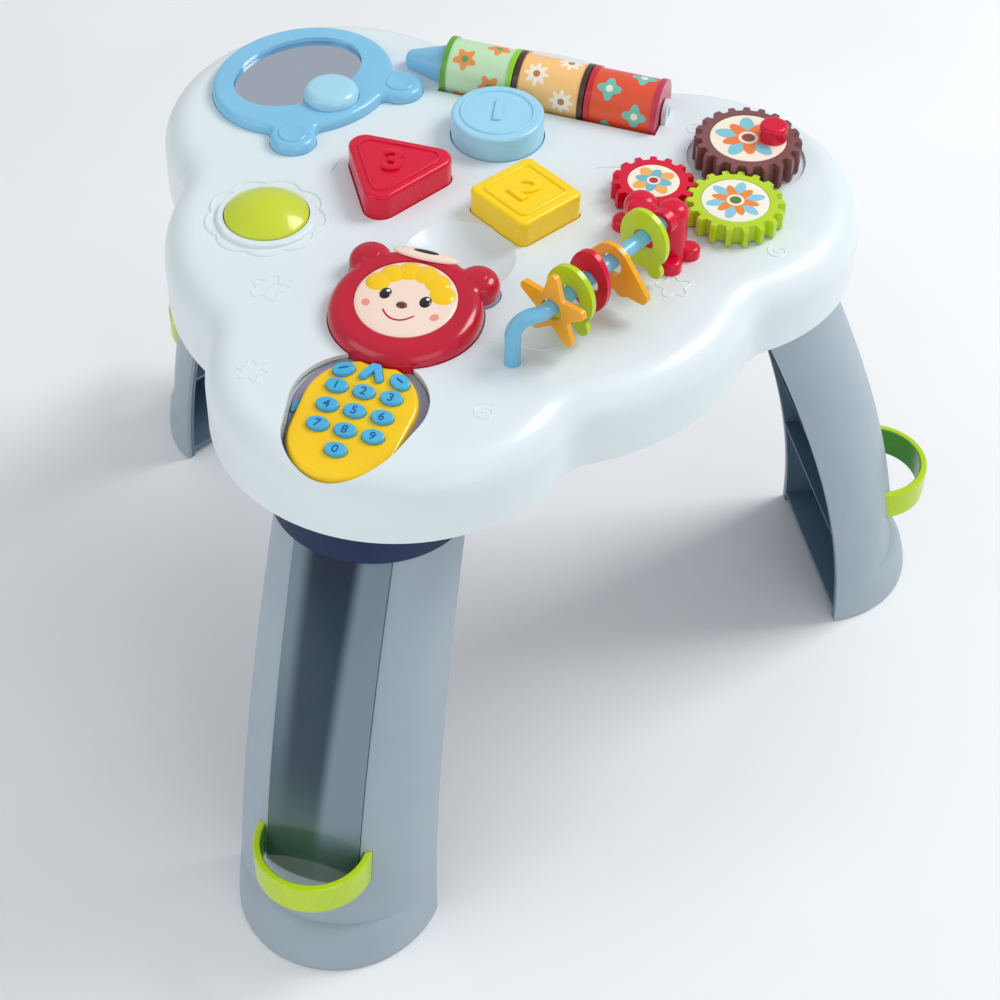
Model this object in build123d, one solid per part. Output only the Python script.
"""Musical activity table for toddlers, built from its separate mouldings.

The model is laid out about the table's own axis: the three legs stand at -90, 30
and 150 degrees, the front lobe with the toy phone points along -Y, and the floor is
z = 0. Just before export everything is moved so that the frame's origin is the
bottom centre of the whole table's box. All sizes are in millimetres.
"""

from build123d import *
import math
import os

os.makedirs("parts", exist_ok=True)

# ---- clearances ------------------------------------------------------------------
fit_gap = 0.3  # between two mouldings that are screwed or clipped together
slip_gap = 0.6  # round a toy block or the phone in its pocket
running_gap = 0.05  # radial, a shaft in its bore
bead_gap = 0.35  # radial, a bead on its rod
key_gap = 0.25  # round a key in its window

# ---- table top -------------------------------------------------------------------
table_height = 340.0
rim_height = 45.0
wall = 3.0
rim_round = 19.0
clear_height = 60.0  # how far a pocket's cutter reaches up past the table top
lobe_centre = 126.0
lobe_radius = 105.0
bump_centre = 44.0
bump_radius = 135.0
notch_radius = 30.0
leg_angles = (-90.0, 30.0, 150.0)

# ---- base pan --------------------------------------------------------------------
pan_lift = 3.0
pan_thickness = 3.0
boss_reach = 168.0
boss_spread = 28.0
boss_radius = 5.0
screw_radius = 1.7
screw_head_radius = 3.6
screw_head_height = 2.4
screw_bite = 12.0

# ---- legs ------------------------------------------------------------------------
foot_reach = 240.7
top_reach = 151.0
lean = 0.052
bow = 1.355
curl = 0.407
foot_half_width = 61.9
top_half_width = 53.2
foot_depth = 53.8
top_depth = 56.0
toe_bulge = 12.0
toe_height = 30.0
toe_shares = (0.0, 0.35, 0.65, 0.87, 1.0)
loft_step = 50.0
leg_wall = 3.2
leg_lip = 4.0
leg_cap = 3.5
liner_wall = 2.4
rib_thickness = 2.4
rib_levels = (6.0, 78.0, 165.0, 250.0)
socket_depth = 29.0
socket_wall = 2.8

# ---- window in the front leg and hoops -------------------------------------------
window_half_width = 28.5
window_bottom = 66.0
window_proud = 1.4
window_wall = 2.0
hoop_step = 37.3  # from the line of the feet's open edges out to the hoop's centre
hoop_radius = 35.0
hoop_wall = 4.6
hoop_bottom = 66.0
hoop_height = 22.0

# ---- shape blocks ----------------------------------------------------------------
block_proud = 16.0
pocket_depth = 11.0
pocket_wall = 2.4
block_edge = 2.4
round_block_radius = 28.0
round_block_at = (-9.8, 74.2)
square_block_side = 47.5
square_block_at = (29.3, 8.0)
square_block_turn = -30.0
square_block_corner = 5.0
triangle_block_side = 77.0
triangle_block_at = (-51.5, 7.5)
triangle_block_turn = -88.0
triangle_block_corner = 10.0

# ---- rollers ---------------------------------------------------------------------
roller_y = 124.0
roller_rise = 5.0
roller_radius = 19.0
roller_length = 45.2
roller_left_x = -58.0
roller_gap = 0.8
roller_wall = 2.4
roller_rim = 3.4
roller_rim_step = 0.9
axle_radius = 3.0
hub_radius = 6.0
trough_gap = 1.6
bearing_length = 16.0
bearing_radius = 7.5
bullet_radius = 13.5
bullet_tip_radius = 5.0
bullet_tip_round = 4.2
bullet_length = 27.0

# ---- gears -----------------------------------------------------------------------
gear_module = 3.0
crank_teeth = 20
idler_teeth = 18
spinner_teeth = 15
addendum = 2.0
dedendum = 2.4
tooth_share = 0.41
tip_share = 0.26
root_share = 0.54
idler_at = (144.3, 44.0)
crank_bearing = 97.0
spinner_bearing = 177.5
gear_lift = 1.0
gear_height = 11.0
crank_extra_height = 3.0
gear_wall = 3.0
gear_edge = 1.3
label_depth = 0.8
label_rim = 4.6
well_margin = 3.4
well_depth = 2.0
post_radius = 4.0
post_hub_radius = 7.0
post_bite = 11.0
knob_reach = 14.5
knob_bearing = 20.0
knob_radius = 8.4
knob_height = 10.0
knob_pin_radius = 3.0

# ---- dome button -----------------------------------------------------------------
button_at = (-109.5, -46.0)
button_radius = 24.4
button_dome = 9.0
button_ring_radius = 29.0
button_ring_rise = 2.5
button_stand = 1.0
button_flange = 2.2
button_wall = 2.2
spring_radius = 7.0
spring_wire = 0.9
spring_turns = 4
spring_seat_height = 16.0

# ---- bead bar --------------------------------------------------------------------
rod_radius = 4.5
rod_foot = (63.0, -118.0)
rod_rise = 30.0
rod_bend = 11.0
rod_turn = (76.0, -108.0)
rod_turn_radius = 15.0
rod_bearing = 67.7
rod_bite = 13.0
bead_thickness = 3.2
bead_spots = (9.0, 24.0, 40.0, 60.0, 88.0)
bead_hole_radius = 6.8
leaf_half_width = 16.0
leaf_half_height = 19.0
leaf_lobe_radius = 5.0
leaf_lobe_at = (8.5, -17.5)
petal_half_width = 13.5
petal_half_height = 20.0
petal_lobe_radius = 4.0
petal_lobe_drop = 20.5
wing_radius = 13.0
wing_tip_radius = 4.5
wing_tip_at = (21.0, -12.0)
wing_lobe_radius = 5.5
wing_lobe_at = (7.5, -13.0)
star_radius = 11.0
star_root_radius = 8.5
star_tip_radius = 3.2
star_reach = 19.5
star_points = 5
bracket_reach = 113.0
bracket_radius = 9.0
bracket_shoulder = 11.0
bracket_foot_height = 7.0
bracket_foot_radius = 6.5
bracket_foot_round = 3.0
bracket_foot_step = 11.0
bracket_back_height = 24.0
bracket_back_round = 4.0
bracket_neck_radius = 7.0
bracket_head_radius = 9.8
bracket_head_height = 11.0
bracket_head_round = 7.6
bracket_crown_flat = 2.5
bracket_toe_spread = 50.0
bracket_head_gap = 1.6
bracket_lean = 6.0
bracket_lean_bearing = 92.0
bracket_lip = 1.0
bracket_arm_bearing = 151.6
bracket_arm_span = 26.0

# ---- mirror ----------------------------------------------------------------------
mirror_reach = 162.0
mirror_bearing = 149.0
frame_half_width = 58.0
frame_half_length = 51.0
frame_rise = 6.5
frame_seat = 1.5
frame_round = 4.0
ear_radius = 14.0
ear_back = 44.0
ear_spread = 41.0
ear_blend = 4.7
mirror_half_width = 43.0
mirror_half_length = 31.5
mirror_shift = 5.0
mirror_thickness = 2.0
mirror_step = 3.0
lens_radius = 17.0
lens_back = 28.5
lens_rise = 7.0
lens_flat = 1.5

# ---- toy phone -------------------------------------------------------------------
phone_at = (-4.0, -101.0)
phone_tilt = 6.0
phone_depth = 7.0
head_radius = 43.0
head_rise = 12.0
head_round = 8.0
phone_ear_radius = 12.5
phone_ear_at = (31.5, 30.0)
grip_radius = 37.0
grip_y = -72.0
tail_radius = 32.0
tail_y = -95.0
phone_wall = 2.0
tub_edge = 1.0
face_half_width = 29.0
face_half_length = 29.0
face_y = 1.5
face_depth = 0.8
keypad_inset = 1.4
keypad_waist = 5.5
keypad_rise = 5.5
keypad_round = 2.5
key_travel = 1.0
key_half_width = 6.3
key_half_length = 4.6
key_proud = 2.6
key_stem = 3.0
key_edge = 1.2
key_pitch_x = 15.5
key_pitch_y = 14.0
key_top_row_y = -64.5
function_key_y = -52.5
function_key_x = 16.0
function_key_turn = 30.0
rocker_y = -50.0
rocker_step = 2.8
rocker_turn = 65.0
side_key_at = (-33.6, -80.0)
side_key_half_width = 1.5
side_key_half_length = 4.4
mat_thickness = 1.2
finger_scoop_radius = 32.0
finger_scoop_depth = 9.0
finger_scoop_at = (7.0, -43.0)

# ---- electrics in the base pan ---------------------------------------------------
battery_radius = 7.1
battery_length = 50.0
battery_count = 3
battery_at = (0.0, 12.0)
door_thickness = 2.0
speaker_radius = 20.0
speaker_height = 9.0
speaker_magnet_radius = 12.0
speaker_at = (-62.0, 62.0)
grille_slots = 5
board_size = (62.0, 40.0)
board_thickness = 1.6
board_at = (62.0, 74.0)
board_standoff = 5.0

# ---- worked out from the sizes above ---------------------------------------------
rim_bottom = table_height - rim_height
pan_bottom = rim_bottom + pan_lift
pan_top = pan_bottom + pan_thickness
ceiling = table_height - wall
inlay_floor = table_height - well_depth
hoop_centre = foot_reach + hoop_step


def polar(reach, bearing):
    """A point at this distance from the table's axis, at this angle from +X."""
    turn = math.radians(bearing)
    return (reach * math.cos(turn), reach * math.sin(turn))


def disc(radius, low, high, at=(0.0, 0.0)):
    """An upright cylinder between two heights."""
    return Pos(at[0], at[1], low) * extrude(Circle(radius), high - low)


def slab(low, high, size=900.0):
    """A level slab wide enough to cut across the whole table."""
    return Pos(0, 0, low) * extrude(Rectangle(size, size), high - low)


def top_edges(solid):
    """The edges that lie in the solid's highest level face."""
    return solid.faces().sort_by(Axis.Z)[-1].edges()


# ---- table top outline -----------------------------------------------------------
def table_outline(inset=0.0):
    """Three lobes and three flatter bumps, blended by concave notches."""
    outline = Sketch()
    for bearing in leg_angles:
        outline += Pos(*polar(lobe_centre, bearing)) * Circle(lobe_radius - inset)
        opposite = bearing + 180.0
        outline += Pos(*polar(bump_centre, opposite)) * Circle(bump_radius - inset)
    return fillet(outline.vertices(), notch_radius + inset)


def rim_block(inset, low, high):
    """The table top as a full block, set in by a distance on every side."""
    block = Pos(0, 0, low) * extrude(table_outline(inset), high - low)
    return fillet(top_edges(block), rim_round - inset)


# ---- shared outlines -------------------------------------------------------------
def triangle_outline(grow=0.0):
    """The triangular block's outline with rounded corners."""
    corner = triangle_block_corner + grow
    reach = triangle_block_side / math.sqrt(3.0) - 2.0 * triangle_block_corner
    corners = [polar(reach, triangle_block_turn + 120.0 * k) for k in range(3)]
    face = make_hull([(Pos(*p) * Circle(corner)).edge() for p in corners])
    return Pos(*triangle_block_at) * face


def square_outline(grow=0.0):
    """The square block's outline with rounded corners."""
    side = square_block_side + 2.0 * grow
    face = RectangleRounded(side, side, square_block_corner + grow)
    return Pos(*square_block_at) * Rot(0, 0, square_block_turn) * face


def round_outline(grow=0.0):
    """The round block's outline."""
    return Pos(*round_block_at) * Circle(round_block_radius + grow)


def cradle_outline(grow=0.0):
    """The phone's keypad end: a wide circle and a narrower one under one hull."""
    wide = Pos(0, grip_y) * Circle(grip_radius + grow)
    narrow = Pos(0, tail_y) * Circle(tail_radius + grow)
    return make_hull([wide.edge(), narrow.edge()])


def keypad_outline(inset=0.0):
    """The yellow face: full width at the tail, and drawn in between the grips."""
    wide = Pos(0, grip_y) * Circle(grip_radius - keypad_waist - inset)
    narrow = Pos(0, tail_y) * Circle(tail_radius - keypad_inset - inset)
    return make_hull([wide.edge(), narrow.edge()])


def head_outline(grow=0.0):
    """The phone's round head with its two ears."""
    outline = Sketch() + Circle(head_radius + grow)
    for side in (-1, 1):
        ear = Circle(phone_ear_radius + grow)
        outline += Pos(side * phone_ear_at[0], phone_ear_at[1]) * ear
    return outline


def phone_outline(grow=0.0):
    """The whole phone from above."""
    return head_outline(grow) + cradle_outline(grow)


phone_plane = Plane(
    origin=(*phone_at, table_height),
    x_dir=(1, 0, 0),
    z_dir=(0, -math.sin(math.radians(phone_tilt)), math.cos(math.radians(phone_tilt))),
)


def in_phone(shape):
    """Moves a shape from the phone's own frame to its place on the table."""
    return phone_plane.location * shape


def mirror_place(shape):
    """Moves a shape drawn with +X outwards to the mirror's lobe."""
    spot = polar(mirror_reach, mirror_bearing)
    return Pos(spot[0], spot[1], 0) * Rot(0, 0, mirror_bearing) * shape


def frame_outline(grow=0.0):
    """The mirror frame: an oval head with two ears towards the table's middle."""
    outline = Sketch() + Ellipse(frame_half_length + grow, frame_half_width + grow)
    for side in (-1, 1):
        outline += Pos(-ear_back, side * ear_spread) * Circle(ear_radius + grow)
    return fillet(outline.vertices(), ear_blend - grow)


# ---- gear places -----------------------------------------------------------------
def pitch_radius(teeth):
    """Half the pitch diameter of a gear with this many teeth."""
    return gear_module * teeth / 2.0


def beside(start, bearing, teeth_a, teeth_b):
    """The centre of a gear that meshes with one at start, in this direction."""
    step = polar(pitch_radius(teeth_a) + pitch_radius(teeth_b), bearing)
    return (start[0] + step[0], start[1] + step[1])


crank_at = beside(idler_at, crank_bearing, idler_teeth, crank_teeth)
spinner_at = beside(idler_at, spinner_bearing, idler_teeth, spinner_teeth)
gear_bottom = table_height + gear_lift
gear_top = gear_bottom + gear_height
crank_bottom = inlay_floor + gear_lift
crank_top = gear_top + crank_extra_height
crank_tip = pitch_radius(crank_teeth) + addendum

roller_z = table_height + roller_rise
roller_step = roller_length + roller_gap
roller_right_x = roller_left_x + 3 * roller_length + 2 * roller_gap
trough_radius = roller_radius + trough_gap

rod_z = table_height + rod_rise
bead_drop = bead_hole_radius - rod_radius - bead_gap


def along_rod(distance, sideways=0.0):
    """A point on the straight part of the rod, measured from its turn."""
    turn = math.radians(rod_bearing)
    x = rod_turn[0] + distance * math.cos(turn) - sideways * math.sin(turn)
    y = rod_turn[1] + distance * math.sin(turn) + sideways * math.cos(turn)
    return (x, y)


# ---- table top shell -------------------------------------------------------------
def pocket(outline, depth):
    """A cup and the space inside it, for a pocket of this outline and depth."""
    cup = Pos(0, 0, table_height - depth - pocket_wall) * extrude(
        outline(slip_gap + pocket_wall), depth
    )
    space = Pos(0, 0, table_height - depth) * extrude(outline(slip_gap), clear_height)
    return cup, space


def roller_trough():
    """The trough's wall and its hollow, both along X under the drums."""
    length = roller_right_x - roller_left_x + 2 * roller_gap
    start = roller_left_x - roller_gap
    place = Pos(start, roller_y, roller_z) * Rot(0, 90, 0)
    shell = place * extrude(Circle(trough_radius + pocket_wall), length)
    hollow = place * extrude(Circle(trough_radius), length)
    ends = [Pos(x, roller_y, roller_z) * Rot(0, 90, 0) for x in (start - wall, start + length)]
    walls = [end * extrude(Circle(trough_radius + pocket_wall), wall) for end in ends]
    return shell, hollow, walls


def phone_cradle():
    """The tilted cup that holds the phone, and the space inside it."""
    floor = -phone_depth - slip_gap
    cup = in_phone(
        Pos(0, 0, floor - pocket_wall)
        * extrude(phone_outline(slip_gap + pocket_wall), phone_depth + pocket_wall)
    )
    space = in_phone(Pos(0, 0, floor) * extrude(phone_outline(slip_gap), clear_height))
    return cup, space


def finger_scoop():
    """The dished finger hollow behind the phone's head: its wall and its space."""
    spread = finger_scoop_radius
    depth = finger_scoop_depth
    ball = (spread * spread + depth * depth) / (2.0 * depth)
    place = Pos(*finger_scoop_at, table_height - depth + ball)
    return place * Sphere(ball + pocket_wall), place * Sphere(ball)


def screw_bosses():
    """Six pillars between the table top and the pan, at both sides of each leg."""
    for bearing in leg_angles:
        for side in (-1, 1):
            yield polar(boss_reach, bearing + side * boss_spread)


def gear_centres():
    """The three gear posts' places."""
    return (crank_at, idler_at, spinner_at)


def right_bearing():
    """The upright ear that carries the axle's right end, moulded in the table top."""
    ear = Pos(roller_right_x + roller_gap, roller_y, roller_z) * Rot(0, 90, 0)
    barrel = ear * extrude(Circle(bearing_radius), wall)
    foot = Pos(roller_right_x + roller_gap + wall / 2, roller_y, ceiling)
    column = foot * extrude(Rectangle(wall, 2 * bearing_radius), roller_z - ceiling)
    bore = ear * extrude(Circle(axle_radius + running_gap), wall)
    return barrel + column, bore


def table_top_shell():
    """The white table top: a lobed tray, upside down, with every pocket and boss."""
    full = rim_block(0.0, rim_bottom, table_height)
    shell = full - rim_block(wall, rim_bottom, ceiling)
    cups = []
    spaces = []
    for outline in (round_outline, square_outline, triangle_outline):
        cup, space = pocket(outline, pocket_depth)
        cups.append(cup)
        spaces.append(space)
    cup, space = phone_cradle()
    cups.append(cup)
    spaces.append(space)
    bowl, dish = finger_scoop()
    cups.append(bowl & slab(table_height - finger_scoop_depth - pocket_wall, table_height - 1))
    spaces.append(dish)
    trough, hollow, walls = roller_trough()
    cups += [part & slab(rim_bottom, ceiling + 1) for part in (trough, *walls)]
    spaces.append(hollow)
    well = crank_tip + well_margin
    cups.append(disc(well + pocket_wall, inlay_floor - wall, ceiling + 1, crank_at))
    spaces.append(disc(well, inlay_floor, table_height + 1, crank_at))
    for spot in gear_centres():
        cups.append(disc(post_hub_radius, ceiling - post_bite, ceiling, spot))
        spaces.append(disc(post_radius, ceiling - post_bite + wall, table_height + 1, spot))
    cups.append(disc(rod_radius + wall, table_height - rod_bite, ceiling, rod_foot))
    spaces.append(disc(rod_radius + running_gap, rim_bottom, table_height + 1, rod_foot))
    for part in cups:
        shell += part & full
    ring = disc(button_ring_radius, ceiling, table_height + button_ring_rise, button_at)
    ring = fillet(top_edges(ring), button_ring_rise / 2)
    shell += ring
    hole_top = table_height + clear_height
    spaces.append(disc(button_radius + slip_gap, rim_bottom, hole_top, button_at))
    for spot in screw_bosses():
        shell += disc(boss_radius, pan_top, ceiling, spot)
        spaces.append(disc(screw_radius + running_gap, pan_top, pan_top + screw_bite, spot))
    ear, bore = right_bearing()
    shell += ear
    spaces.append(bore)
    seat = extrude(frame_outline(fit_gap), 2 * frame_rise)
    spaces.append(Pos(0, 0, table_height - frame_seat) * mirror_place(seat))
    for space in spaces:
        shell -= space
    return shell


# ---- legs ------------------------------------------------------------------------
def edge_reach(z):
    """How far out the leg's open edges stand at this height: a bowed line."""
    t = z / pan_bottom
    return foot_reach - (foot_reach - top_reach) * t * (lean + bow * t - curl * t * t)


def leg_half_width(z):
    """Half the leg's width at this height."""
    return foot_half_width + (top_half_width - foot_half_width) * z / pan_bottom


def leg_depth(z):
    """How far the leg's nose stands out from its open edges at this height."""
    return foot_depth + (top_depth - foot_depth) * z / pan_bottom


def leg_section(z, grow, back):
    """A half ellipse with its flat side towards the table's axis."""
    bulge = 0.0
    if z < toe_height:
        bulge = toe_bulge * math.sqrt(1.0 - (z / toe_height) ** 2)
    reach = edge_reach(z)
    half = leg_half_width(z) + grow
    start = reach + (leg_lip if back > 0 else 0.0)
    tip = reach + leg_depth(z) + grow + bulge
    nose = EllipticalCenterArc((start, 0), tip - start, half, -90, arc_size=180)
    if back > 0:
        inner = reach - back
        rest = Polyline((start, half), (inner, half), (inner, -half), (start, -half))
    else:
        rest = Line((reach, half), (reach, -half))
    return Pos(0, 0, z) * make_face(Curve() + [nose, rest])


def leg_block(grow, low, high, back=0.0):
    """The leg as a full block between two heights, grown on its curved side."""
    block = Part()
    if low < toe_height:
        toe_levels = [toe_height * share for share in toe_shares]
        block += loft([leg_section(z, grow, back) for z in toe_levels])
        low = toe_height
    steps = max(2, round((high - low) / loft_step))
    levels = [low + (high - low) * k / steps for k in range(steps + 1)]
    return block + loft([leg_section(z, grow, back) for z in levels])


def window_box(half_width, low, high):
    """An upright box that cuts the window's stretch out of the leg's nose."""
    deep = Pos(foot_reach + foot_depth / 2, 0, low) * Rectangle(4 * foot_depth, 2 * half_width)
    return extrude(deep, high - low)


window_top = pan_bottom - socket_depth - fit_gap
liner_grow = -(leg_wall + fit_gap)
liner_top = pan_bottom - leg_cap - fit_gap


def hoop_ring(grow):
    """The hoop as a full ring, grown on every face by a clearance."""
    ring = Circle(hoop_radius + grow) - Circle(hoop_radius - hoop_wall - grow)
    place = Pos(hoop_centre, 0, hoop_bottom - grow)
    return place * extrude(ring, hoop_height + 2 * grow)


def leg_screw_spot():
    """Where the leg's screw goes up into the pan, in the leg's own frame."""
    return (edge_reach(pan_bottom) + top_depth / 2, 0.0)


def leg_shell(windowed):
    """The pale C-shaped leg, capped at its top, with slots for its hoop."""
    hollow = leg_block(-leg_wall, 0.0, pan_bottom - leg_cap, back=foot_depth)
    shell = leg_block(0.0, 0.0, pan_bottom) - hollow
    shell -= hoop_ring(fit_gap / 2)
    shell -= disc(screw_radius + running_gap, liner_top, pan_bottom, leg_screw_spot())
    if windowed:
        shell -= window_box(window_half_width, window_bottom, window_top + fit_gap)
    return shell


def leg_liner():
    """The dark liner inside a leg, with shelf-like ribs across its hollow."""
    block = leg_block(liner_grow, 0.0, liner_top)
    liner = block - leg_block(liner_grow - liner_wall, 0.0, pan_bottom, back=foot_depth)
    for level in rib_levels:
        liner += block & slab(level, level + rib_thickness)
    return liner


def leg_window():
    """The clear cover: a skin over the opening with a flange down each side."""
    width = window_half_width - fit_gap
    skin = leg_block(window_proud, 0.0, pan_bottom) & window_box(
        width, window_bottom + fit_gap, window_top
    )
    skin -= leg_block(-leg_wall, 0.0, pan_bottom, back=foot_depth)
    inside = leg_block(window_proud - window_wall, 0.0, pan_bottom, back=foot_depth)
    return skin - (inside & window_box(width - window_wall, 0.0, pan_bottom))


def leg_hoop():
    """The part of the hoop that stands outside the leg and through its wall."""
    ring = hoop_ring(0.0)
    ring = chamfer(ring.edges().filter_by(GeomType.CIRCLE), hoop_wall / 5)
    return ring - leg_block(liner_grow + fit_gap / 3, 0.0, pan_bottom)


# ---- base pan and what it carries ------------------------------------------------
cell_pitch = 2 * battery_radius + fit_gap
bay_size = (battery_length + 4 * fit_gap, battery_count * cell_pitch + fit_gap)
door_ledge = 3.0
door_size = (bay_size[0] + 2 * door_ledge, bay_size[1] + 2 * door_ledge)
bay_floor = pan_bottom + door_thickness + fit_gap
bay_top = bay_floor + 2 * battery_radius + 2 * fit_gap
spring_floor = pan_top + spring_seat_height
web_bottom = ceiling


def box_between(size, low, high, at):
    """An upright block on a rectangle, between two heights."""
    return Pos(at[0], at[1], low) * extrude(Rectangle(*size), high - low)


def leg_socket():
    """The pan's socket round a leg's top."""
    low = pan_bottom - socket_depth
    outside = fit_gap + socket_wall
    block = leg_block(outside, low, pan_bottom, back=outside)
    return block - leg_block(fit_gap, low, pan_bottom, back=fit_gap)


def base_pan():
    """The navy floor of the table: sockets, battery bay, grille and pillars."""
    pan = Pos(0, 0, pan_bottom) * extrude(table_outline(wall + fit_gap), pan_thickness)
    screw_hole = screw_radius + running_gap
    for bearing in leg_angles:
        pan += Rot(0, 0, bearing) * leg_socket()
        spot = leg_screw_spot()
        pan += Rot(0, 0, bearing) * disc(boss_radius, pan_top, pan_top + screw_bite, spot)
        pan -= Rot(0, 0, bearing) * disc(screw_hole, pan_bottom, pan_top + screw_bite, spot)
    for spot in screw_bosses():
        pan -= disc(screw_hole, pan_bottom, pan_top, spot)
    bay_outside = (door_size[0] + wall, door_size[1] + wall)
    pan += box_between(bay_outside, pan_bottom, bay_top + pan_thickness, battery_at)
    pan -= box_between(bay_size, pan_bottom, bay_top, battery_at)
    pan -= box_between(door_size, pan_bottom, bay_floor, battery_at)
    pan += disc(spring_radius + 2 * spring_wire, pan_top, spring_floor, button_at)
    for k in range(grille_slots):
        y = speaker_at[1] + (k - (grille_slots - 1) / 2) * speaker_radius / 3
        slot = Pos(speaker_at[0], y, pan_bottom) * SlotOverall(speaker_radius, wall)
        pan -= extrude(slot, pan_thickness)
    for side in (-1, 1):
        foot = (board_at[0] + side * (board_size[0] / 2 - boss_radius), board_at[1])
        pan += disc(boss_radius, pan_top, pan_top + board_standoff, foot)
    return pan


def battery_door():
    """The battery bay's lid, flush with the pan's underside."""
    size = (door_size[0] - 2 * fit_gap, door_size[1] - 2 * fit_gap)
    return box_between(size, pan_bottom, pan_bottom + door_thickness, battery_at)


def batteries():
    """Three cells side by side, each with its contact nub."""
    cells = Part()
    nub = 1.0
    for k in range(battery_count):
        y = battery_at[1] + (k - (battery_count - 1) / 2) * cell_pitch
        z = bay_floor + fit_gap + battery_radius
        start = Pos(battery_at[0] - battery_length / 2, y, z) * Rot(0, 90, 0)
        cells += start * extrude(Circle(battery_radius), battery_length - nub)
        cells += start * extrude(Circle(battery_radius / 3), battery_length)
    return cells


def speaker():
    """A small cone speaker: its frame on the pan and its magnet on top."""
    frame = disc(speaker_radius, pan_top, pan_top + speaker_height / 3, speaker_at)
    return frame + disc(speaker_magnet_radius, pan_top, pan_top + speaker_height, speaker_at)


def circuit_board():
    """The sound board on its two pillars, with its main chip."""
    low = pan_top + board_standoff
    board = box_between(board_size, low, low + board_thickness, board_at)
    chip = (board_size[1] / 3, board_size[1] / 3)
    return board + box_between(chip, low, low + 2 * board_thickness, board_at)


def screw(head_bottom, at):
    """One pan-head screw pointing up, its head's top face under what it holds."""
    head = disc(screw_head_radius, head_bottom, head_bottom + screw_head_height, at)
    length = pan_thickness + screw_bite - wall
    return head + disc(screw_radius, head_bottom, head_bottom + screw_head_height + length, at)


def case_screws():
    """Six screws through the pan into the table top, and one up into it per leg."""
    screws = Part()
    for spot in screw_bosses():
        screws += screw(pan_bottom - screw_head_height, spot)
    for bearing in leg_angles:
        head_bottom = pan_bottom - leg_cap - screw_head_height
        screws += Rot(0, 0, bearing) * screw(head_bottom, leg_screw_spot())
    return screws


# ---- shape blocks ----------------------------------------------------------------
def block(outline):
    """A shape block standing in its pocket, with an eased top edge."""
    height = pocket_depth + block_proud - fit_gap
    solid = Pos(0, 0, table_height - pocket_depth + fit_gap) * extrude(outline(), height)
    return fillet(top_edges(solid), block_edge)


# ---- rollers ---------------------------------------------------------------------
def across(x):
    """The frame on the rollers' axis with its Z along +X."""
    return Pos(x, roller_y, roller_z) * Rot(0, 90, 0)


def roller(index):
    """One hollow drum: a cup closed at its right end, with a raised rim each side."""
    inner = roller_radius - roller_wall
    body = roller_radius - roller_rim_step
    drum = extrude(Circle(body), roller_length)
    for low in (0.0, roller_length - roller_rim):
        drum += Pos(0, 0, low) * extrude(Circle(roller_radius), roller_rim)
    drum -= extrude(Circle(inner) - Circle(hub_radius), roller_length - roller_wall)
    drum -= extrude(Circle(axle_radius + running_gap), roller_length)
    return across(roller_left_x + index * roller_step) * drum


def roller_axle():
    """The plain rod through the three drums."""
    start = roller_left_x - roller_gap - bearing_length + fit_gap
    end = roller_right_x + roller_gap + wall
    return across(start) * extrude(Circle(axle_radius), end - start)


def roller_bracket():
    """The blue pointed bearing at the axle's left end."""
    middle = roller_left_x - roller_gap - bullet_length / 2
    bullet = across(middle) * Cone(bullet_tip_radius, bullet_radius, bullet_length)
    tip = bullet.edges().filter_by(GeomType.CIRCLE).sort_by(Axis.X)[0]
    bullet = fillet(tip, bullet_tip_round)
    bullet &= slab(table_height, table_height + clear_height)
    bore = across(roller_left_x - roller_gap - bearing_length)
    return bullet - bore * extrude(Circle(axle_radius + running_gap), bearing_length)


# ---- gears -----------------------------------------------------------------------
def gear_outline(teeth):
    """Chunky toy teeth: straight flanks with rounded tips and roots of one chord."""
    pitch = pitch_radius(teeth)
    step = 2 * math.pi / teeth
    places = (
        (pitch - dedendum, -root_share),
        (pitch, -tooth_share),
        (pitch + addendum, -tip_share),
        (pitch + addendum, tip_share),
        (pitch, tooth_share),
        (pitch - dedendum, root_share),
    )
    corners = []
    for k in range(teeth):
        for reach, share in places:
            turn = step * (k + share / 2)
            corners.append((reach * math.cos(turn), reach * math.sin(turn)))
    return make_face(Polyline(*corners, close=True))


def gear(teeth, at, turn, low, high, seat):
    """A gear with a hub on its post, a hollow underside and a recess for its label."""
    tip = pitch_radius(teeth) + addendum
    root = pitch_radius(teeth) - dedendum
    place = Pos(at[0], at[1], 0) * Rot(0, 0, turn)
    solid = place * (Pos(0, 0, low) * extrude(gear_outline(teeth), high - low))
    edge = disc(tip, low, high, at)
    solid &= chamfer(top_edges(edge), gear_edge)
    solid -= disc(root - gear_wall, low, high - gear_wall, at)
    solid += disc(post_hub_radius, seat + fit_gap, high - label_depth, at)
    solid -= disc(root - label_rim, high - label_depth, high, at)
    return solid - disc(post_radius + running_gap, seat, high - gear_wall, at)


def crank_gear():
    """The brown gear, which carries the pin that its knob turns on."""
    wheel = gear(crank_teeth, crank_at, crank_turn, crank_bottom, crank_top, inlay_floor)
    pin = disc(knob_pin_radius, crank_top - wall, crank_top + knob_height - wall, knob_at)
    return wheel + pin


def idler_gear():
    """The lime gear between the other two."""
    return gear(idler_teeth, idler_at, idler_turn, gear_bottom, gear_top, table_height)


def spinner_gear():
    """The small red gear."""
    return gear(spinner_teeth, spinner_at, spinner_turn, gear_bottom, gear_top, table_height)


def gear_posts():
    """The three pins that the gears turn on, set in the table top's bosses."""
    low = ceiling - post_bite + wall
    posts = Part()
    for spot, high in ((crank_at, crank_top), (idler_at, gear_top), (spinner_at, gear_top)):
        posts += disc(post_radius - running_gap / 5, low, high - gear_wall - fit_gap, spot)
    return posts


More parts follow.
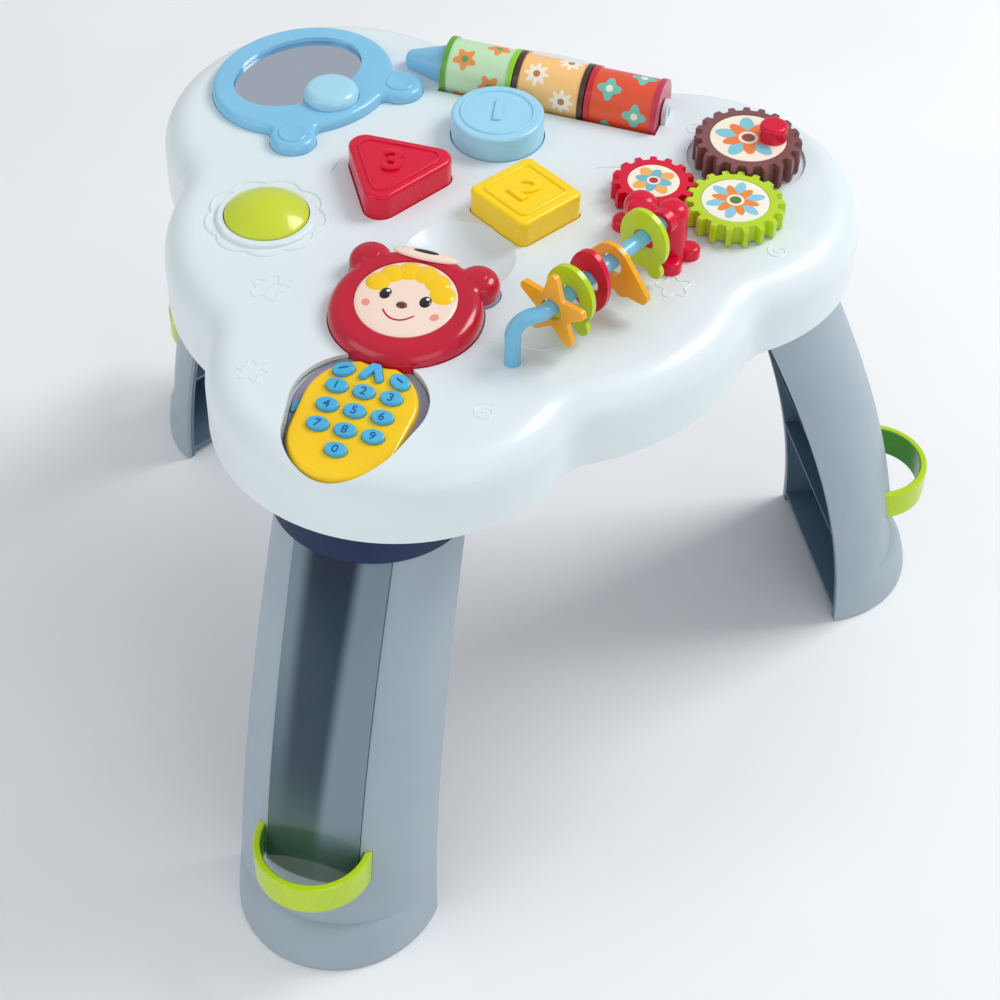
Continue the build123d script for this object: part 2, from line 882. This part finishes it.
def crank_knob():
    """The red knob, free to turn on the crank gear's pin."""
    knob = disc(knob_radius, crank_top + fit_gap, crank_top + knob_height, knob_at)
    knob = fillet(top_edges(knob), block_edge)
    bore = disc(knob_pin_radius + running_gap, 0, crank_top + knob_height - wall + fit_gap, knob_at)
    return knob - bore


def mesh_turn(teeth, bearing, gap):
    """The turn that puts a tooth, or a gap between teeth, at this bearing."""
    return bearing + (180.0 / teeth if gap else 0.0)


idler_turn = mesh_turn(idler_teeth, crank_bearing, False)
crank_turn = mesh_turn(crank_teeth, crank_bearing + 180.0, True)
spinner_mesh = (spinner_bearing - idler_turn) * idler_teeth / spinner_teeth
spinner_turn = spinner_bearing + 180.0 + spinner_mesh + 180.0 / spinner_teeth
knob_offset = polar(knob_reach, knob_bearing)
knob_at = (crank_at[0] + knob_offset[0], crank_at[1] + knob_offset[1])


# ---- dome button -----------------------------------------------------------------
def cap_arc(radius, rise, base):
    """A round cap's profile, from its crown on the axis out to its edge."""
    ball = (radius * radius + rise * rise) / (2.0 * rise)
    half_turn = math.asin(radius / ball) / 2.0
    middle = (ball * math.sin(half_turn), base + rise - ball + ball * math.cos(half_turn))
    return ThreePointArc((0, base + rise), middle, (radius, base))


def dome_button():
    """The lime push button: a dome, a skirt, a web and the flange that keeps it in."""
    base = table_height + button_ring_rise + button_stand
    low = ceiling - fit_gap - button_flange
    inner = button_radius - button_wall
    web_top = web_bottom + button_wall
    outside = Polyline(
        (button_radius, base),
        (button_radius, low + button_flange),
        (button_radius + wall, low + button_flange),
        (button_radius + wall, low),
        (inner, low),
        (inner, web_bottom),
        (wall, web_bottom),
        (wall, web_top),
        (inner, web_top),
        (inner, base),
    )
    crown = cap_arc(button_radius, button_dome, base)
    underside = cap_arc(inner, button_dome - button_wall, base)
    axis_line = Line(crown @ 0, underside @ 0)
    profile = make_face(Curve() + [crown, outside, underside, axis_line])
    profile = fillet(profile.vertices().sort_by_distance((button_radius, base))[0], button_wall)
    return Pos(button_at[0], button_at[1], 0) * revolve(Rot(90, 0, 0) * profile, Axis.Z)


def button_spring():
    """The coil spring between the pan's pillar and the button's web."""
    height = web_bottom - spring_floor - 2 * (fit_gap + spring_wire)
    coil = Helix(height / spring_turns, height, spring_radius)
    wire = Plane(origin=coil @ 0, z_dir=coil % 0) * RegularPolygon(spring_wire, 6)
    place = Pos(button_at[0], button_at[1], spring_floor + fit_gap + spring_wire)
    return place * sweep(wire, coil, is_frenet=True)


# ---- bead bar --------------------------------------------------------------------
def bead_rod():
    """The bent rod: up from the table, over its bend and on to the bracket."""
    foot = (*rod_foot, table_height - rod_bite)
    knee = (*rod_foot, rod_z)
    turn = (*rod_turn, rod_z)
    end = (*along_rod(bracket_reach), rod_z)
    path = FilletPolyline(foot, knee, turn, end, radius=[rod_bend, rod_turn_radius])
    return sweep(Plane(origin=foot, z_dir=(0, 0, 1)) * Circle(rod_radius), path)


def mirrored(shape):
    """A flat shape together with its mirror image across the upright line."""
    return shape + mirror(shape, about=Plane.YZ)


def leaf_bead():
    """A broad leaf with two round lobes at its foot."""
    return Ellipse(leaf_half_width, leaf_half_height) + mirrored(
        Pos(*leaf_lobe_at) * Circle(leaf_lobe_radius)
    )


def petal_bead():
    """A narrow petal with a round tip."""
    tip = Pos(0, -petal_lobe_drop) * Circle(petal_lobe_radius)
    return Ellipse(petal_half_width, petal_half_height) + tip


def wing_bead():
    """A pair of wings under a round back, with two scallops between their tips."""
    tips = [Pos(side * wing_tip_at[0], wing_tip_at[1]) * Circle(wing_tip_radius) for side in (-1, 1)]
    wings = make_hull([Circle(wing_radius).edge(), tips[0].edge(), tips[1].edge()])
    return Sketch() + wings + mirrored(Pos(*wing_lobe_at) * Circle(wing_lobe_radius))


def star_bead():
    """A star with rounded points."""
    star = Sketch() + Circle(star_radius)
    for k in range(star_points):
        tip = Pos(*polar(star_reach, 90.0 + 360.0 * k / star_points)) * Circle(star_tip_radius)
        star += make_hull([Circle(star_root_radius).edge(), tip.edge()])
    return star


bead_outlines = (star_bead, leaf_bead, petal_bead, wing_bead, leaf_bead)


def bead(index):
    """A flat figure hanging on the rod by the hole through its middle."""
    outline = bead_outlines[index]() - Circle(bead_hole_radius)
    spot = along_rod(bead_spots[index])
    turn = math.radians(rod_bearing)
    face = Plane(
        origin=(*spot, rod_z - bead_drop),
        x_dir=(math.sin(turn), -math.cos(turn), 0),
        z_dir=(-math.cos(turn), -math.sin(turn), 0),
    )
    return face.location * extrude(outline, bead_thickness / 2, both=True)


def bracket_foot(middle, bearing):
    """A round foot beside a point, in this direction."""
    step = polar(bracket_foot_step, bearing)
    spot = (middle[0] + step[0], middle[1] + step[1])
    foot = disc(bracket_foot_radius, table_height, table_height + bracket_foot_height, spot)
    return fillet(top_edges(foot), bracket_foot_round)


def rod_bracket():
    """The red crouching bracket: a back on three feet, the rod's pillar and a head."""
    pillar = along_rod(bracket_reach)
    arm = polar(bracket_arm_span, bracket_arm_bearing)
    neck = (pillar[0] + arm[0], pillar[1] + arm[1])
    ends = [Pos(*pillar) * Circle(bracket_radius - bracket_lip), Pos(*neck) * Circle(bracket_neck_radius)]
    back = make_hull([end.edge() for end in ends])
    body = Pos(0, 0, table_height) * extrude(back, bracket_back_height)
    body = fillet(top_edges(body), bracket_back_round)
    for side in (-1, 1):
        body += bracket_foot(pillar, rod_bearing - 90.0 + side * bracket_toe_spread)
    body += bracket_foot(neck, bracket_arm_bearing)
    crown = rod_z + bracket_radius - bracket_lip
    column = disc(bracket_radius, table_height, crown, pillar)
    body += fillet(top_edges(column), bracket_radius - bracket_crown_flat)
    lean_in = polar(bracket_lean, bracket_lean_bearing)
    head_at = (neck[0] + lean_in[0], neck[1] + lean_in[1])
    head_low = gear_top + bracket_head_gap
    head = disc(bracket_head_radius, head_low, head_low + bracket_head_height, head_at)
    body += fillet(top_edges(head), bracket_head_round)
    shoulder = Plane(origin=(*along_rod(bracket_reach - bracket_shoulder), rod_z), z_dir=rod_direction)
    body += shoulder.location * extrude(Circle(rod_radius + wall), bracket_shoulder)
    bore = shoulder.location * extrude(Circle(rod_radius + running_gap), bracket_shoulder + fit_gap)
    return body - bore


rod_direction = (math.cos(math.radians(rod_bearing)), math.sin(math.radians(rod_bearing)), 0)


# ---- mirror ----------------------------------------------------------------------
frame_bottom = table_height - frame_seat
frame_top = table_height + frame_rise
mirror_floor = frame_top - mirror_step - mirror_thickness


def mirror_frame():
    """The light blue frame, rounded over, with seats for the mirror and the lens."""
    outline = frame_outline()
    base = Pos(0, 0, frame_bottom) * extrude(outline, mirror_floor - frame_bottom)
    glass = Pos(mirror_shift, 0) * Ellipse(mirror_half_length, mirror_half_width)
    lens = Pos(-lens_back, 0) * Circle(lens_radius)
    ring = Pos(0, 0, mirror_floor) * extrude(outline, frame_top - mirror_floor)
    ring = fillet(top_edges(ring), frame_round)
    ring -= Pos(0, 0, mirror_floor) * extrude(glass + lens, frame_rise)
    return mirror_place(base + ring)


def mirror_plate():
    """The mirror sheet in its seat."""
    length = mirror_half_length - fit_gap
    sheet = Pos(mirror_shift, 0) * Ellipse(length, mirror_half_width - fit_gap)
    sheet -= Pos(-lens_back, 0) * Circle(lens_radius)
    return mirror_place(Pos(0, 0, mirror_floor) * extrude(sheet, mirror_thickness))


def light_lens():
    """The glossy round lens over the lamp, which overlaps the mirror sheet's edge."""
    solid = disc(lens_radius - fit_gap, mirror_floor, frame_top + lens_rise, (-lens_back, 0))
    return mirror_place(fillet(top_edges(solid), lens_rise - lens_flat))


# ---- toy phone, in its own frame -------------------------------------------------
def layer(outline, low, high):
    """An outline extruded between two of the phone's own levels."""
    return Pos(0, 0, low) * extrude(outline, high - low)


def key_outline(grow=0.0):
    """An oval key cap."""
    return Ellipse(key_half_width + grow, key_half_length + grow)


def rocker_outline(grow=0.0):
    """The two-pronged rocker between the function keys."""
    prongs = Sketch()
    for side in (-1, 1):
        prong = SlotOverall(2 * key_half_width + 2 * grow, key_half_length + 2 * grow)
        prongs += Pos(side * rocker_step, 0) * Rot(0, 0, -side * rocker_turn) * prong
    return prongs


def side_outline(grow=0.0):
    """The narrow key in the phone's left grip."""
    return Ellipse(side_key_half_width + grow, side_key_half_length + grow)


def digit_spot(digit):
    """Where a digit's key stands: three columns, with 0 in a row of its own."""
    if digit == 0:
        return (0.0, key_top_row_y - 3 * key_pitch_y)
    row, column = divmod(digit - 1, 3)
    return ((column - 1) * key_pitch_x, key_top_row_y - row * key_pitch_y)


def front_keys():
    """Every key in the yellow face: name, place, turn and outline."""
    for digit in range(10):
        yield f"key_{digit}", digit_spot(digit), 0.0, key_outline
    yield "function_key_left", (-function_key_x, function_key_y), function_key_turn, key_outline
    yield "function_key_right", (function_key_x, function_key_y), -function_key_turn, key_outline
    yield "rocker_key", (0.0, rocker_y), 0.0, rocker_outline


key_bottom = mat_thickness + key_travel + fit_gap
cavity_inset = keypad_waist + 2 * phone_wall


def phone_back_shell():
    """The phone's grey tub with its grips, a ledge for the mat and a side key's seat."""
    tub = layer(phone_outline(), -phone_depth, 0.0)
    tub = chamfer(tub.faces().sort_by(Axis.Z)[0].edges(), tub_edge)
    hollow = cradle_outline(-cavity_inset) + Circle(head_radius - cavity_inset)
    tub -= layer(hollow, phone_wall - phone_depth, 0.0)
    return tub - layer(Pos(*side_key_at) * side_outline(key_gap), -key_stem - key_travel, 0.0)


def phone_front_shell():
    """The yellow keypad face, with a window for every key."""
    around_head = head_outline(fit_gap)
    face = layer(keypad_outline() - around_head, 0.0, keypad_rise)
    face = fillet(top_edges(face), keypad_round)
    inner = keypad_outline(phone_wall) - head_outline(fit_gap + phone_wall)
    face -= layer(inner, 0.0, keypad_rise - phone_wall)
    for _, spot, turn, outline in front_keys():
        face -= layer(Pos(*spot) * Rot(0, 0, turn) * outline(key_gap), 0.0, keypad_rise)
    return face


def phone_key_mat():
    """The rubber sheet under the keys, lying on the tub's ledge."""
    sheet = keypad_outline(phone_wall + fit_gap)
    return layer(sheet - head_outline(2 * fit_gap + phone_wall), 0.0, mat_thickness)


def phone_head():
    """The red head with its ears, rounded over, and a shallow seat for its face."""
    head = layer(head_outline(), 0.0, head_rise)
    head = fillet(top_edges(head), head_round)
    head -= layer(Circle(head_radius - cavity_inset), 0.0, head_rise / 2)
    face = Pos(0, face_y) * Ellipse(face_half_width, face_half_length)
    return head - layer(face, head_rise - face_depth, head_rise)


def phone_keys():
    """Every key cap by name, in the phone's own frame."""
    for name, spot, turn, outline in front_keys():
        cap = Pos(*spot) * Rot(0, 0, turn) * outline()
        key = layer(cap, key_bottom, keypad_rise + key_proud)
        yield name, fillet(top_edges(key), key_edge)
    yield "side_key", layer(Pos(*side_key_at) * side_outline(), -key_stem, key_proud / 2)


# ---- the whole table -------------------------------------------------------------
def all_nodes():
    """Every node by name, laid out about the table's axis."""
    nodes = {
        "table_top_shell": table_top_shell(),
        "base_pan": base_pan(),
        "battery_door": battery_door(),
        "batteries": batteries(),
        "speaker": speaker(),
        "circuit_board": circuit_board(),
        "case_screws": case_screws(),
        "round_block": block(round_outline),
        "square_block": block(square_outline),
        "triangle_block": block(triangle_outline),
        "roller_axle": roller_axle(),
        "roller_bracket": roller_bracket(),
        "roller_left": roller(0),
        "roller_middle": roller(1),
        "roller_right": roller(2),
        "crank_gear": crank_gear(),
        "idler_gear": idler_gear(),
        "spinner_gear": spinner_gear(),
        "gear_posts": gear_posts(),
        "crank_knob": crank_knob(),
        "dome_button": dome_button(),
        "button_spring": button_spring(),
        "bead_rod": bead_rod(),
        "rod_bracket": rod_bracket(),
        "mirror_frame": mirror_frame(),
        "mirror_plate": mirror_plate(),
        "light_lens": light_lens(),
        "phone_back_shell": in_phone(phone_back_shell()),
        "phone_front_shell": in_phone(phone_front_shell()),
        "phone_key_mat": in_phone(phone_key_mat()),
        "phone_head": in_phone(phone_head()),
    }
    for index in range(len(bead_spots)):
        nodes[f"bead_{index + 1}"] = bead(index)
    for name, key in phone_keys():
        nodes[name] = in_phone(key)
    liner = leg_liner()
    hoop = leg_hoop()
    for name, bearing in zip(("front", "right", "left"), leg_angles):
        turn = Rot(0, 0, bearing)
        nodes[f"leg_{name}"] = turn * leg_shell(windowed=name == "front")
        nodes[f"leg_liner_{name}"] = turn * liner
        nodes[f"leg_hoop_{name}"] = turn * hoop
    nodes["leg_window"] = Rot(0, 0, leg_angles[0]) * leg_window()
    return nodes


def middle_of(nodes):
    """The middle of the whole table's box, seen from above."""
    boxes = [shape.bounding_box() for shape in nodes.values()]
    x = (min(box.min.X for box in boxes) + max(box.max.X for box in boxes)) / 2
    y = (min(box.min.Y for box in boxes) + max(box.max.Y for box in boxes)) / 2
    return x, y


def main():
    """Builds every node, moves the origin to the box's bottom centre and writes it."""
    nodes = all_nodes()
    x, y = middle_of(nodes)
    print("table axis in the frame:", round(-x, 3), round(-y, 3))
    for name, shape in nodes.items():
        export_step(Pos(-x, -y, 0) * shape, f"parts/{name}.step")


main()
